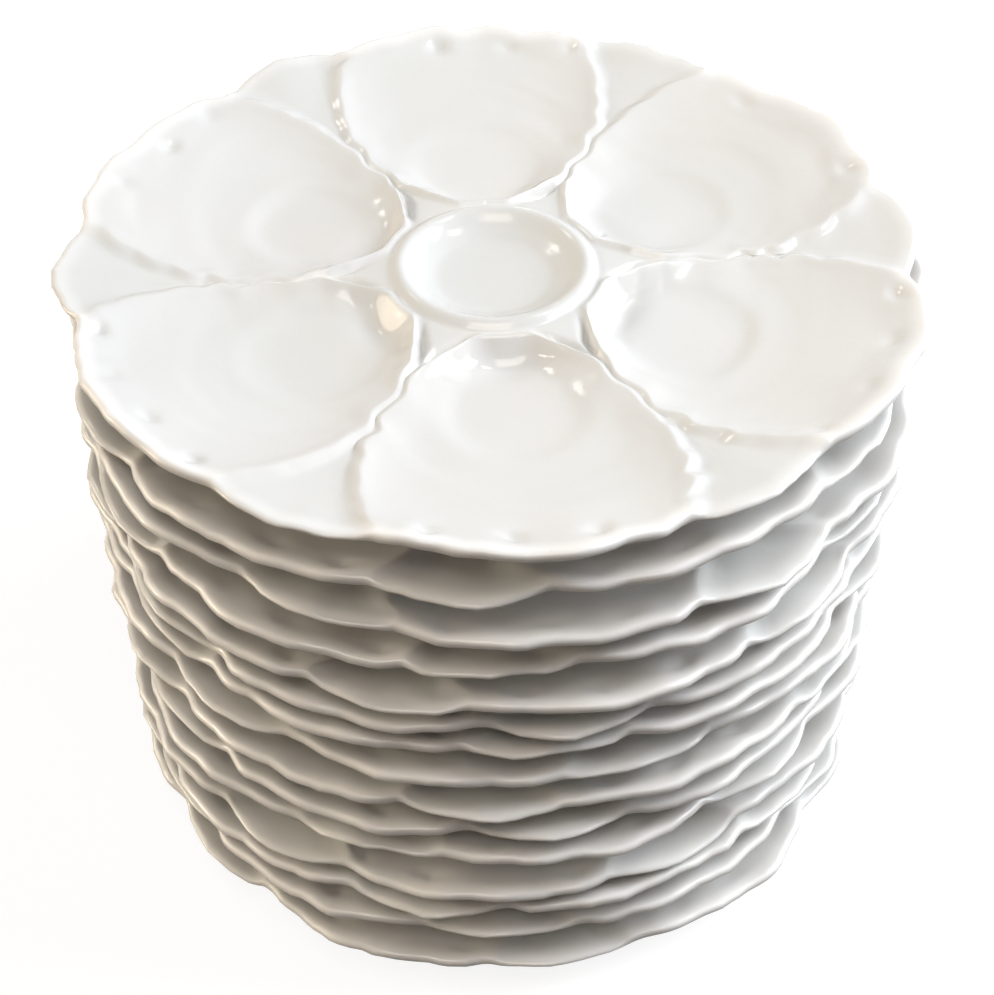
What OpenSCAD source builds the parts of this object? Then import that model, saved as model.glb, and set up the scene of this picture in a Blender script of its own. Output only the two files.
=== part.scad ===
// A stack of fifteen white porcelain oyster plates, each moulded in one piece.
// Six raised shells stand round a small centre well, and a plain web fills the gap
// between each two shells out to a wavy rim. Each plate rests with its foot ring
// on the shell lips of the plate below, turned and leaning a little its own way.

/* [Rim] */
// Radius of the rim midway between its lobes and its notches
rim_radius = 114; // [100:1:130]
// Depth of the rim's lobes, from the notches to the tips
lobe_depth = 4.8; // [2:0.2:7]
// Height of the rim above the plane of the foot
rim_height = 18.5; // [17:0.5:22]
// Rise and fall of the rim as it waves from lobe to notch
wave_height = 1.6; // [0.4:0.2:2.4]
// How far the rim's ruffles reach out and in
ruffle_reach = 1.2; // [0:0.1:2]
// How far the rim's ruffles rise and fall
ruffle_height = 0.8; // [0:0.1:1.2]
// Thickness of the porcelain at the rim
edge_thickness = 3; // [2.4:0.2:4]
// How far the rim's lower edge stands in from its upper edge
edge_undercut = 0.8; // [0.4:0.1:1.6]

/* [Shells and webs] */
// Height of the lips where two shells meet, where the next plate's foot rests
ridge_height = 10.2; // [9.8:0.2:12]
// Height of the floor of the shells above the plane of the foot
bowl_height = 7.6; // [7:0.2:9]
// Depth of the pocket for an oyster below that floor
pocket_depth = 0.7; // [0:0.1:1]
// Radius of the flat floor of that pocket
pocket_radius = 12; // [10:1:16]
// Width of the slope round the pocket
pocket_slope = 7; // [4:1:10]
// Distance of the pocket from the middle of the plate
pocket_distance = 56; // [50:1:64]
// Depth of the hollow at the shells' hinge ends below that floor
hinge_depth = 0.9; // [0:0.1:1.2]
// Distance from the middle of the plate where that hollow is at its full depth
hinge_floor_radius = 37; // [34:1:40]
// Distance from the middle of the plate where that hollow ends
hinge_end_radius = 47; // [42:1:52]
// Height of the webs outside the shells' hinge ends
web_height = 9.4; // [8.6:0.2:10.2]
// Height of the groove between the crest and the shells' hinge ends
groove_height = 11.2; // [10.4:0.2:12]
// How far the web lies below the lips at the rim
web_drop = 1.4; // [0.6:0.2:2]
// Distance of the shells' hinge ends from the middle of the plate
hinge_radius = 30.5; // [30:0.5:34]
// Width of the slope from a lip down into its shell
lip_slope = 17; // [12:1:22]
// Width of that slope at the shells' hinge ends
hinge_slope = 7; // [5:1:12]
// Width of the step from a lip down to the web
lip_fall = 2.6; // [1.5:0.1:4]

/* [Centre well] */
// Radius of the flat floor of the centre well
well_floor_radius = 17; // [14:0.5:20]
// Height of the floor of the centre well above the plane of the foot
well_floor_height = 7.5; // [7:0.1:8.5]
// Radius of the crest round the centre well
crest_radius = 25.5; // [24:0.5:27]
// Height of the crest round the centre well
crest_height = 12.9; // [12:0.1:13.4]
// Radius where the outside of the crest meets the groove
groove_radius = 28.5; // [27.5:0.5:29.5]

/* [Foot] */
// Outer radius of the foot ring where it stands
foot_outer_radius = 64; // [60:0.5:68]
// Inner radius of the foot ring where it stands
foot_inner_radius = 60; // [54:0.5:59.5]
// Width of the slope on each side of the foot ring
foot_slope = 2; // [1:0.5:4]
// Height of the underside inside the foot ring
foot_depth = 3.5; // [2.5:0.1:4]

/* [Stack] */
// Clearance between a foot ring and the highest lip that it rests on
seat_gap = 0.3; // [0.2:0.05:0.5]
// Greatest lean of a plate in the stack, in degrees
lean_limit = 1.8; // [0:0.1:2]
// Greatest sideways slip of a plate in the stack
slip_limit = 1.5; // [0:0.1:3]

/* [Hidden] */
NODES = [
    "bottom_plate", "plate_02", "plate_03", "plate_04", "plate_05",
    "plate_06", "plate_07", "plate_08", "plate_09", "plate_10",
    "plate_11", "plate_12", "plate_13", "plate_14", "top_plate"
];
plate_count = len(NODES);
last = plate_count - 1;
porcelain = "#f3f1ec";

// Six shells, so each sector reaches from one shell's middle to the next one's
shell_count = 6;
half_sector = 180 / shell_count;
sector = 2 * half_sector;

// Turn of each plate about the stack, from the bottom one up, in degrees
plate_turns = [40, 31, 20, 57, 12, 38, 28, 50, 37, 40, 16, 30, 7, 26, 5];
// Lean of each plate towards the front and to the left, as shares of the greatest lean
front_lean_shares = [
    0, -0.8, -1, 0.75, -0.5, -0.3, -0.45, -0.65, -0.95, 0.65, 1, 0.45, 0.85, 0.65, 0
];
side_lean_shares = [
    0, -0.65, -1, -0.45, -0.5, -0.45, -0.35, 0, -0.05, -0.05, -0.15, -0.3, 1, -0.8, 0
];
// Slip of each plate to the right and to the back, as shares of the greatest slip
right_slip_shares = [
    1, 0.6, 0.9, 0.4, 0.7, 0.2, 0.6, 0, 0.4, 0.1, 0.5, -0.2, 0.3, 0.1, 0
];
back_slip_shares = [
    0, 0.4, -0.3, 0.5, -0.1, 0.3, -0.5, 0.2, -0.2, 0.4, -0.4, 0.3, -0.2, 0.2, 0
];

// Tables below start with a share of the rim's radius, or of half a sector
// counted from the middle of a web, and give a share of what the name says.

// Edge of the shells, as shares of half a sector
shell_edge_shares = [
    [0.27, 0.55], [0.30, 0.40], [0.34, 0.22], [0.40, 0.08], [0.46, 0.05], [0.62, 0.05],
    [0.68, 0.07], [0.74, 0.11], [0.80, 0.17], [0.86, 0.23], [0.92, 0.30], [0.97, 0.36],
    [1.02, 0.385]
];
// Climb of the lips, from the ridge height to the rim height
lip_climb_shares = [
    [0.25, 0.22], [0.36, 0.22], [0.45, 0.08], [0.50, 0], [0.58, 0],
    [0.64, 0.04], [0.72, 0.18], [0.80, 0.38], [0.90, 0.68], [1, 1]
];
// Width of the slope into a shell, from the hinge slope to the lip slope
slope_shares = [[0.34, 0], [0.52, 1]];
// Fall of the web, from the groove's height to its height outside the hinge ends
inner_web_shares = [[0.26, 0], [0.46, 1]];
// Climb of the web, from that height to its height at the rim
web_climb_shares = [[0.60, 0], [0.72, 0.12], [0.82, 0.36], [0.92, 0.68], [1, 1]];
// Climb of the floor of the shells, from their depth to the rim height
bowl_climb_shares = [
    [0.28, 0.03], [0.50, 0], [0.62, 0.03], [0.70, 0.13], [0.80, 0.32], [0.90, 0.60], [1, 1]
];
// Climb of the underside, from inside the foot to the lower edge of the rim
under_climb_shares = [
    [0.56, 0], [0.62, 0.03], [0.70, 0.10], [0.80, 0.30], [0.90, 0.60], [1, 1]
];
// Reach of the rim past its radius, in lobe depths
outline_shares = [
    [0, 0.45], [0.20, 0.12], [0.37, -0.45], [0.50, 0.10], [0.66, 0.18], [0.84, 0.60], [1, 0.38]
];
// Rise of the rim over its height, in wave heights
wave_shares = [
    [0, 0.4], [0.20, 0], [0.37, -0.45], [0.50, 0.1], [0.66, 0.1], [0.84, 0.7], [1, 0.4]
];
// Share of the rim's radius where its lobes, waves and ruffles begin
wave_start_share = 0.72;
// Broad and short ruffles round the rim, and the turn of both from plate to plate
broad_ruffles = 7;
short_ruffles = 16;
ruffle_turn = 100;

// Rings of the faceted surfaces, as shares of the rim's radius, and steps of their
// columns, as shares of the web and of the shell on each side of a shell's edge
plain_ring_shares = [0.28, 0.37, 0.50, 0.58, 0.69, 0.80];
plain_rim_ring_shares = [0.90, 1];
plain_web_step_shares = [];
plain_shell_step_shares = [0.45];
plain_rim_web_step_shares = [0.52];
plain_rim_shell_step_shares = [0.20, 0.45, 0.74];
fine_ring_shares = [
    0.27, 0.30, 0.34, 0.39, 0.45, 0.50, 0.58, 0.64, 0.70, 0.76, 0.82, 0.88
];
fine_rim_ring_shares = [0.94, 0.98, 1];
fine_web_step_shares = [0.5];
fine_shell_step_shares = [0.12, 0.27, 0.48, 0.73];
under_ring_shares = [0.90, 0.80];
// Steps of the centre well's wall, as shares of its width, for the top plate
fine_wall_step_shares = [0.35, 0.70];

function smooth(t) = let (c = min(max(t, 0), 1)) c * c * (3 - 2 * c);
function blend(low, high, share) = low + (high - low) * share;
function reach_share(radius) = radius / rim_radius;
function rim_share(radius) = smooth((reach_share(radius) - wave_start_share) / (1 - wave_start_share));

// Swing of the ruffles, from -1 to 1, which start at another place on each plate
function ruffle(angle, start) =
    (sin(broad_ruffles * angle + start) + sin(short_ruffles * angle - start)) / 2;

// Distance of a point inside the edge of its shell, negative on the web
function inside_shell(radius, share) =
    min(
        (share - lookup(reach_share(radius), shell_edge_shares)) * half_sector * radius * PI / 180,
        radius - hinge_radius
    );

// Distance of a point from the middle of the pocket in its shell
function from_pocket(radius, share) =
    let (turn = (1 - share) * half_sector)
    norm([radius * cos(turn) - pocket_distance, radius * sin(turn)]);

// Depth of the pocket and of the hollow at the hinge end below the shells' floor
function hollow(radius, share) =
    pocket_depth * smooth(1 - (from_pocket(radius, share) - pocket_radius) / pocket_slope)
    + hinge_depth * smooth((hinge_end_radius - radius) / (hinge_end_radius - hinge_floor_radius));

// Height of the shells and webs from the groove outwards
function relief(radius, share) =
    let (
        reach = reach_share(radius),
        inside = inside_shell(radius, share),
        lip = blend(ridge_height, rim_height, lookup(reach, lip_climb_shares)),
        inner_web = blend(groove_height, web_height, lookup(reach, inner_web_shares)),
        web = blend(inner_web, rim_height - web_drop, lookup(reach, web_climb_shares)),
        slope = blend(hinge_slope, lip_slope, lookup(reach, slope_shares)),
        bowl = blend(bowl_height, rim_height, lookup(reach, bowl_climb_shares)),
        bottom = min(lip, bowl) - hollow(radius, share)
    )
    inside < 0
        ? blend(web, lip, max(1 + inside / lip_fall, 0))
        : blend(bottom, lip, pow(1 - min(inside / slope, 1), 2));

// Height of the centre well from its floor to its crest
function well(radius) =
    blend(
        well_floor_height,
        crest_height,
        smooth((radius - well_floor_radius) / (crest_radius - well_floor_radius))
    );
function under_height(radius) =
    blend(
        foot_depth,
        rim_height - edge_thickness,
        lookup(reach_share(radius), under_climb_shares)
    );

// Columns of one sector in signed shares, from the middle of a shell over a web
function column_shares(radius, web_steps, shell_steps) =
    let (
        edge = lookup(reach_share(radius), shell_edge_shares),
        half = concat(
            [for (step = web_steps) edge * step],
            [edge],
            [for (step = shell_steps) blend(edge, 1, step)]
        ),
        count = len(half)
    )
    concat([-1], [for (i = [count - 1 : -1 : 0]) -half[i]], [0], half);

function polar(radius, angle, height) = [radius * cos(angle), radius * sin(angle), height];

// A ring of the relief or of the underside of one plate, with its share of the rim's
// lobes, waves and ruffles. Its columns follow the shells' edges.
function shaped_ring(i, radius, columns, under) = [
    for (k = [0 : shell_count - 1])
        for (column = columns)
            let (
                share = abs(column),
                angle = sector * k + half_sector * column,
                out = lobe_depth * lookup(share, outline_shares)
                    + ruffle_reach * ruffle(angle, ruffle_turn * i),
                rise = wave_height * lookup(share, wave_shares)
                    + ruffle_height * ruffle(angle, ruffle_turn * (i + plate_count)),
                inset = under && radius == rim_radius ? edge_undercut : 0
            )
            polar(
                radius - inset + out * rim_share(radius),
                angle,
                (under ? under_height(radius) : relief(radius, share)) + rise * rim_share(radius)
            )
];
// A round ring with evenly spaced columns
function round_ring(radius, count, height) = [
    for (i = [0 : count - 1]) polar(radius, i * 360 / count - half_sector, height)
];

// Shaped rings at the given shares of the rim's radius. The underside takes its
// columns from the rim, so that they run straight down from it.
function shaped_rings(i, ring_shares, web_steps, shell_steps, under) = [
    for (share = ring_shares)
        let (radius = rim_radius * share)
        shaped_ring(
            i,
            radius,
            column_shares(under ? rim_radius : radius, web_steps, shell_steps),
            under
        )
];

// All rings of a plate, from the middle of its top over the rim to the foot
function plate_rings(
    i, ring_shares, wall_steps, web_steps, shell_steps,
    rim_ring_shares, rim_web_steps, rim_shell_steps
) =
    let (
        half = shell_count * (len(web_steps) + len(shell_steps) + 2),
        wall = crest_radius - well_floor_radius
    )
    concat(
        [[[0, 0, well_floor_height]]],
        [round_ring(well_floor_radius, half, well_floor_height)],
        [
            for (step = wall_steps)
                round_ring(well_floor_radius + wall * step, half, well(well_floor_radius + wall * step))
        ],
        [round_ring(crest_radius, half, crest_height)],
        shaped_rings(i, concat([reach_share(groove_radius)], ring_shares), web_steps, shell_steps, false),
        shaped_rings(i, rim_ring_shares, rim_web_steps, rim_shell_steps, false),
        shaped_rings(i, [1], rim_web_steps, rim_shell_steps, true),
        shaped_rings(i, under_ring_shares, web_steps, shell_steps, true),
        [
            round_ring(foot_outer_radius + foot_slope, half, under_height(foot_outer_radius + foot_slope)),
            round_ring(foot_outer_radius, half, 0),
            round_ring(foot_inner_radius, half, 0),
            round_ring(foot_inner_radius - foot_slope, half, foot_depth)
        ],
        [[[0, 0, foot_depth]]]
    );

// Triangles between two rings with as many columns, or twice or half as many
function band(a, a_count, b, b_count) =
    a_count == 1 ? [for (i = [0 : b_count - 1]) [a, b + (i + 1) % b_count, b + i]]
    : b_count == 1 ? [for (i = [0 : a_count - 1]) [a + i, a + (i + 1) % a_count, b]]
    : a_count == b_count ? [
        for (i = [0 : a_count - 1])
            let (next = (i + 1) % a_count)
            each [[a + i, b + next, b + i], [a + i, a + next, b + next]]
    ]
    : a_count < b_count ? [
        for (i = [0 : a_count - 1])
            let (next = (i + 1) % a_count, middle = b + 2 * i + 1)
            each [[a + i, middle, b + 2 * i], [a + i, a + next, middle], [a + next, b + 2 * next, middle]]
    ]
    : [
        for (i = [0 : b_count - 1])
            let (next = (i + 1) % b_count, middle = a + 2 * i + 1)
            each [[a + 2 * i, middle, b + i], [middle, b + next, b + i], [middle, a + 2 * next, b + next]]
    ];

// Index of the first point of each ring
function ring_starts(rings) = [
    for (i = 0, start = 0; i < len(rings); start = start + len(rings[i]), i = i + 1) start
];

// Matrix that leans a plate, and its slip over the plane of the stack's foot
function lean_matrix(i) =
    let (x = lean_limit * front_lean_shares[i], y = lean_limit * side_lean_shares[i])
    [
        [cos(y), sin(y) * sin(x), sin(y) * cos(x)],
        [0, cos(x), -sin(x)],
        [-sin(y), cos(y) * sin(x), cos(y) * cos(x)]
    ];
function slip(i) = slip_limit * [right_slip_shares[i], back_slip_shares[i], 0];

// Points on the shell lips of a plate, over its own origin, where a foot ring can rest
function lip_points(i) = [
    for (radius = [foot_inner_radius, foot_outer_radius])
        let (edge = lookup(reach_share(radius), shell_edge_shares))
        for (k = [0 : shell_count - 1])
            for (share = [-edge, edge])
                lean_matrix(i) * polar(
                    radius,
                    plate_turns[i] + sector * k + half_sector * share,
                    relief(radius, edge)
                ) + slip(i)
];
// Rise of a plate's origin over the one below it when its foot rests on those lips
function rest_rise(i) =
    let (up = lean_matrix(i) * [0, 0, 1])
    max([
        for (point = lip_points(i - 1))
            let (seat = point - slip(i))
            seat.z + (up.x * seat.x + up.y * seat.y) / up.z
    ]) + seat_gap;
rests = [
    for (
        i = 0, rest = 0;
        i < plate_count;
        i = i + 1, rest = i < plate_count ? rest + rest_rise(i) : rest
    )
        rest
];

// Middle of the stack's reach, so that the stack stands centred on its origin
plain_rim_columns = column_shares(
    rim_radius, plain_rim_web_step_shares, plain_rim_shell_step_shares
);
fine_rim_columns = column_shares(rim_radius, fine_web_step_shares, fine_shell_step_shares);
rim_points = [
    for (i = [0 : last])
        let (columns = i < last ? plain_rim_columns : fine_rim_columns)
        for (point = shaped_ring(i, rim_radius, columns, false))
            let (angle = plate_turns[i])
            lean_matrix(i) * [
                point.x * cos(angle) - point.y * sin(angle),
                point.x * sin(angle) + point.y * cos(angle),
                point.z
            ] + slip(i)
];
rim_x = [for (point = rim_points) point.x];
rim_y = [for (point = rim_points) point.y];
middle = [(min(rim_x) + max(rim_x)) / 2, (min(rim_y) + max(rim_y)) / 2, 0];

// One plate with its foot on the plane of its own origin
module plate(rings) {
    starts = ring_starts(rings);
    faces = [
        for (i = [0 : len(rings) - 2])
            each band(starts[i], len(rings[i]), starts[i + 1], len(rings[i + 1]))
    ];
    polyhedron(points = [for (ring = rings) each ring], faces = faces, convexity = 8);
}
module plain_plate(i) {
    plate(plate_rings(
        i, plain_ring_shares, [], plain_web_step_shares, plain_shell_step_shares,
        plain_rim_ring_shares, plain_rim_web_step_shares, plain_rim_shell_step_shares
    ));
}
module fine_plate(i) {
    plate(plate_rings(
        i, fine_ring_shares, fine_wall_step_shares, fine_web_step_shares, fine_shell_step_shares,
        fine_rim_ring_shares, fine_web_step_shares, fine_shell_step_shares
    ));
}
// Puts a plate at its place in the stack
module placed(i) {
    translate(slip(i) - middle + [0, 0, rests[i]])
        multmatrix(lean_matrix(i))
            rotate(plate_turns[i])
                children();
}

module bottom_plate() {
    color(porcelain) placed(0) plain_plate(0);
}
module middle_plate(i) {
    color(porcelain) placed(i) plain_plate(i);
}
module top_plate() {
    color(porcelain) placed(last) fine_plate(last);
}

bottom_plate();
for (i = [1 : last - 1])
    middle_plate(i);
top_plate();
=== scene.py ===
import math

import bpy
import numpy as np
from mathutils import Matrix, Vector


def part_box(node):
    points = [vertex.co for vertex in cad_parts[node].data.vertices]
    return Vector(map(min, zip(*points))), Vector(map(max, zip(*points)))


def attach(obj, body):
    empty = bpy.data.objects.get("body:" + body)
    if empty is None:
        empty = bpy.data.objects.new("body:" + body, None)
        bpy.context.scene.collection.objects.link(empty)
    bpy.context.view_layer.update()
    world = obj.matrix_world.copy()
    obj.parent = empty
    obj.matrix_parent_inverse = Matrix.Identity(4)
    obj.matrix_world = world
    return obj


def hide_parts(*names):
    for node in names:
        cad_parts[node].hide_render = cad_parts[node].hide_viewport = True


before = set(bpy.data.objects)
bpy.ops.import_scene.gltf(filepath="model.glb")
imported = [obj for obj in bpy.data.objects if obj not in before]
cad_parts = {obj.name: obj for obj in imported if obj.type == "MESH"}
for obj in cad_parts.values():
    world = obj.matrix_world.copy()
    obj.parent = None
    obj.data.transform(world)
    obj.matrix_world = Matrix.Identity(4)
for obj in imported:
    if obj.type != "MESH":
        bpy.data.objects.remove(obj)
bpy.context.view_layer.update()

# %% [markdown]
# # A stack of white porcelain oyster plates
# Fifteen plates stand one on another, each turned and leaning its own way. Each plate is
# one moulded piece: six raised shells round a centre well, with a plain web between each
# two shells and a wavy rim. The shape follows a rule, so one rule makes all fifteen.
# The steps: sizes, the shape of a plate and its mesh, the camera, light, the glaze, the
# tree that gives each plate its ruffles and its place, and last the fifteen plates.

MM = 0.001

# %% [markdown]
# ## Sizes
# The plate's sizes are those of the construction, in millimetres times MM, because the
# frame is in metres. Only the edge is rounder. The tables of shares say where a height or
# an edge changes: the first number is a share of the rim's radius, or of half a sector
# counted from the middle of a web, and the second is a share of what the name says.

# %% Sizes of a plate
RIM_RADIUS = 114 * MM
LOBE_DEPTH = 4.8 * MM
RIM_HEIGHT = 18.5 * MM
WAVE_HEIGHT = 1.6 * MM
RUFFLE_REACH = 1.2 * MM
RUFFLE_HEIGHT = 0.8 * MM
EDGE_THICKNESS = 3 * MM
EDGE_ROUNDING = 1.5 * MM
EDGE_START = RIM_RADIUS - EDGE_ROUNDING
RIDGE_HEIGHT = 10.2 * MM
BOWL_HEIGHT = 7.6 * MM
POCKET_DEPTH = 0.7 * MM
POCKET_RADIUS = 12 * MM
POCKET_SLOPE = 7 * MM
POCKET_DISTANCE = 56 * MM
HINGE_DEPTH = 0.9 * MM
HINGE_FLOOR_RADIUS = 37 * MM
HINGE_END_RADIUS = 47 * MM
WEB_HEIGHT = 9.4 * MM
GROOVE_HEIGHT = 11.2 * MM
WEB_DROP = 1.4 * MM
HINGE_RADIUS = 30.5 * MM
LIP_SLOPE = 17 * MM
HINGE_SLOPE = 7 * MM
WELL_FLOOR_HEIGHT = 7.5 * MM
CREST_RADIUS = 25.5 * MM
CREST_HEIGHT = 12.9 * MM
GROOVE_RADIUS = 28.5 * MM
FOOT_OUTER_RADIUS = 64 * MM
FOOT_INNER_RADIUS = 60 * MM
FOOT_SLOPE = 2 * MM
FOOT_DEPTH = 3.5 * MM
SEAT_GAP = 0.3 * MM
SLIP_LIMIT = 1.5 * MM
LEAN_LIMIT = math.radians(1.8)
SHELL_COUNT = 6
SECTOR = 2 * math.pi / SHELL_COUNT
print("rim diameter in mm:", 2 * RIM_RADIUS / MM)

# %% Sizes of the finer relief, which only the finished plates have
INNER_STEP = 2.4 * MM
OUTER_STEP = 4.6 * MM
BEAD_HEIGHT = 0.24 * MM
BEAD_WIDTH = 1.8 * MM
BEAD_END_SHARE = 1.02
BEAD_FADE_SHARE = 0.10
STEP_START_SHARE = 0.5
STEP_GROWTH_SHARE = 0.4
FOOT_PLACE_SHARE = 0.545
FOOT_BAND_SHARE = 0.06
POCKET_SOFTENING = 3 * MM
CORNER_ROUNDING = 3 * MM
print("the bead on a lip is", BEAD_HEIGHT / MM, "mm high")

# %% Shares that shape a plate
shell_edge_shares = [
    (0.27, 0.55), (0.30, 0.40), (0.34, 0.22), (0.40, 0.08), (0.46, 0.05), (0.62, 0.05),
    (0.68, 0.07), (0.74, 0.11), (0.80, 0.17), (0.86, 0.23), (0.92, 0.30), (0.97, 0.36),
    (1.02, 0.385),
]
lip_climb_shares = [
    (0.25, 0.22), (0.36, 0.22), (0.45, 0.08), (0.50, 0), (0.58, 0), (0.64, 0.04),
    (0.72, 0.18), (0.80, 0.38), (0.90, 0.68), (1, 1),
]
slope_shares = [(0.34, 0), (0.52, 1)]
inner_web_shares = [(0.26, 0), (0.46, 1)]
web_climb_shares = [(0.60, 0), (0.72, 0.12), (0.82, 0.36), (0.92, 0.68), (1, 1)]
bowl_climb_shares = [
    (0.28, 0.03), (0.50, 0), (0.62, 0.03), (0.70, 0.13), (0.80, 0.32), (0.90, 0.60), (1, 1),
]
under_climb_shares = [
    (0.56, 0), (0.62, 0.03), (0.70, 0.10), (0.80, 0.30), (0.90, 0.60), (1, 1),
]
outline_shares = [
    (0, 0.45), (0.20, 0.12), (0.37, -0.45), (0.50, 0.10), (0.66, 0.18), (0.84, 0.60), (1, 0.38),
]
wave_shares = [
    (0, 0.4), (0.20, 0), (0.37, -0.45), (0.50, 0.1), (0.66, 0.1), (0.84, 0.7), (1, 0.4),
]
WAVE_START_SHARE = 0.72
BROAD_RUFFLES = 7
SHORT_RUFFLES = 16
RUFFLE_TURN = math.radians(100)
print("points on the shells' edge curve:", len(shell_edge_shares))

# %% How the plates lie in the stack, from the lowest up
PLATES = ["bottom_plate"] + [f"plate_{i:02d}" for i in range(2, 15)] + ["top_plate"]
plate_turns = [40, 31, 20, 57, 12, 38, 28, 50, 37, 40, 16, 30, 7, 26, 5]
front_lean_shares = [
    0, -0.8, -1, 0.75, -0.5, -0.3, -0.45, -0.65, -0.95, 0.65, 1, 0.45, 0.85, 0.65, 0,
]
side_lean_shares = [
    0, -0.65, -1, -0.45, -0.5, -0.45, -0.35, 0, -0.05, -0.05, -0.15, -0.3, 1, -0.8, 0,
]
right_slip_shares = [1, 0.6, 0.9, 0.4, 0.7, 0.2, 0.6, 0, 0.4, 0.1, 0.5, -0.2, 0.3, 0.1, 0]
back_slip_shares = [
    0, 0.4, -0.3, 0.5, -0.1, 0.3, -0.5, 0.2, -0.2, 0.4, -0.4, 0.3, -0.2, 0.2, 0,
]
print("plates:", len(PLATES))

# %% [markdown]
# ## Curves through the shares
# Straight lines between the shares would leave creases in the glaze, and a spline can
# overshoot. So each curve is the straight line blurred a little: straight where the table
# is, and rounded only at its corners.

# %% A smooth curve through pairs of shares
CURVE_STEP_SHARE = 0.001


def curve(pairs, blur_share=0.010):
    """Returns a function that follows the pairs, rounded at their corners."""
    places, values = np.array(pairs, dtype=float).T
    steps = np.arange(-0.1, 1.2, CURVE_STEP_SHARE)
    line = np.interp(steps, places, values)
    half = int(4 * blur_share / CURVE_STEP_SHARE)
    offsets = np.arange(-half, half + 1) * CURVE_STEP_SHARE
    kernel = np.exp(-0.5 * (offsets / blur_share) ** 2)
    rounded = np.convolve(np.pad(line, half, "edge"), kernel / kernel.sum(), "valid")
    return lambda share: np.interp(share, steps, rounded)


shell_edge = curve(shell_edge_shares, 0.006)
lip_climb = curve(lip_climb_shares)
slope_width = curve(slope_shares)
inner_web_fall = curve(inner_web_shares)
web_climb = curve(web_climb_shares)
bowl_climb = curve(bowl_climb_shares)
under_climb = curve(under_climb_shares)
outline = curve(outline_shares, 0.025)
wave_curve = curve(wave_shares, 0.03)
web_half_width = math.degrees(SECTOR / 2) * float(shell_edge(1))
print("half width of a web at the rim, in degrees:", round(web_half_width, 1))

# %% Small helpers for mixing and easing


def ease(t):
    """Goes from 0 to 1 with a soft start and end."""
    t = np.clip(t, 0, 1)
    return t * t * (3 - 2 * t)


def blend(low, high, share):
    """Mixes two values by a share."""
    return low + (high - low) * share


print("ease at a quarter:", ease(0.25))

# %% [markdown]
# ## The shape of a plate as a rule
# On the real plate one mould presses the shells, all six much alike. They could be
# sculpted, but a rule makes them alike too, and it is the rule of the construction. A
# point is given by its radius and by its share of half a sector, counted from the middle
# of the nearest web. From these two come the distance inside the shell's edge, and from
# that the height: down a soft slope into the shell, or down a short step to the web. The
# rim adds its lobes and waves.

# %% Rim, shells and webs


def rim_share(radius):
    """How far a radius is into the zone where lobes, waves and ruffles grow."""
    return ease((radius / RIM_RADIUS - WAVE_START_SHARE) / (1 - WAVE_START_SHARE))


def ruffle(angle, start):
    """Swing of the rim's ruffles, from -1 to 1."""
    return (math.sin(BROAD_RUFFLES * angle + start) + math.sin(SHORT_RUFFLES * angle - start)) / 2


def lobed(radius, share):
    """Radius after the rim's lobes have been added."""
    return radius + LOBE_DEPTH * outline(share) * rim_share(radius)


def wave(radius, share):
    """Rise of the rim as it waves from lobe to notch."""
    return WAVE_HEIGHT * wave_curve(share) * rim_share(radius)


def inside_shell(radius, share):
    """Distance inside the edge of the shell, negative on the web."""
    reach = radius / RIM_RADIUS
    step = 2 * CURVE_STEP_SHARE
    slope = (shell_edge(reach + step) - shell_edge(reach - step)) / (2 * step)
    tilt = np.sqrt(1 + (slope * reach * SECTOR / 2) ** 2)
    across = (share - shell_edge(reach)) * (SECTOR / 2) * radius / tilt
    along = radius - HINGE_RADIUS
    mix = np.clip(0.5 + 0.5 * (along - across) / CORNER_ROUNDING, 0, 1)
    return blend(along, across, mix) - CORNER_ROUNDING * mix * (1 - mix)


def from_pocket(radius, share):
    """Distance from the middle of the shell's pocket, which growth lines run round."""
    turn = (1 - share) * SECTOR / 2
    return np.hypot(radius * np.cos(turn) - POCKET_DISTANCE, radius * np.sin(turn))


def hollow(radius, share):
    """Depth of the pocket and of the hinge end's hollow below the shell's floor."""
    beyond = from_pocket(radius, share) - POCKET_RADIUS + POCKET_SOFTENING
    pocket = ease(1 - beyond / (POCKET_SLOPE + 2 * POCKET_SOFTENING))
    hinge = ease((HINGE_END_RADIUS - radius) / (HINGE_END_RADIUS - HINGE_FLOOR_RADIUS))
    return POCKET_DEPTH * pocket + HINGE_DEPTH * hinge


def relief(radius, share):
    """Height of the shells and webs outside the centre well."""
    reach = radius / EDGE_START
    inside = inside_shell(radius, share)
    lip = blend(RIDGE_HEIGHT, RIM_HEIGHT, lip_climb(reach))
    inner_web = blend(GROOVE_HEIGHT, WEB_HEIGHT, inner_web_fall(reach))
    web = blend(inner_web, RIM_HEIGHT - WEB_DROP, web_climb(reach))
    bowl = np.minimum(lip, blend(BOWL_HEIGHT, RIM_HEIGHT, bowl_climb(reach)))
    slope = blend(HINGE_SLOPE, LIP_SLOPE, slope_width(reach))
    bottom = bowl - hollow(radius, share)
    down = blend(bottom, lip, (1 - np.clip(inside / slope, 0, 1)) ** 2)
    widening = ease((reach - STEP_START_SHARE) / STEP_GROWTH_SHARE)
    step_width = blend(INNER_STEP, OUTER_STEP, widening)
    step = blend(web, lip, ease(1 + inside / step_width))
    clear_of_foot = 1 - np.exp(-(((reach - FOOT_PLACE_SHARE) / FOOT_BAND_SHARE) ** 2))
    bead_shape = np.exp(-(((inside - BEAD_WIDTH / 2) / BEAD_WIDTH) ** 2))
    bead = BEAD_HEIGHT * bead_shape * clear_of_foot
    bead_end = ease((BEAD_END_SHARE - reach) / BEAD_FADE_SHARE)
    return np.where(inside < 0, step, down) + bead * bead_end


print("height in a shell, in mm:", round(float(relief(70 * MM, np.array(1.0))) / MM, 2))

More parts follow.
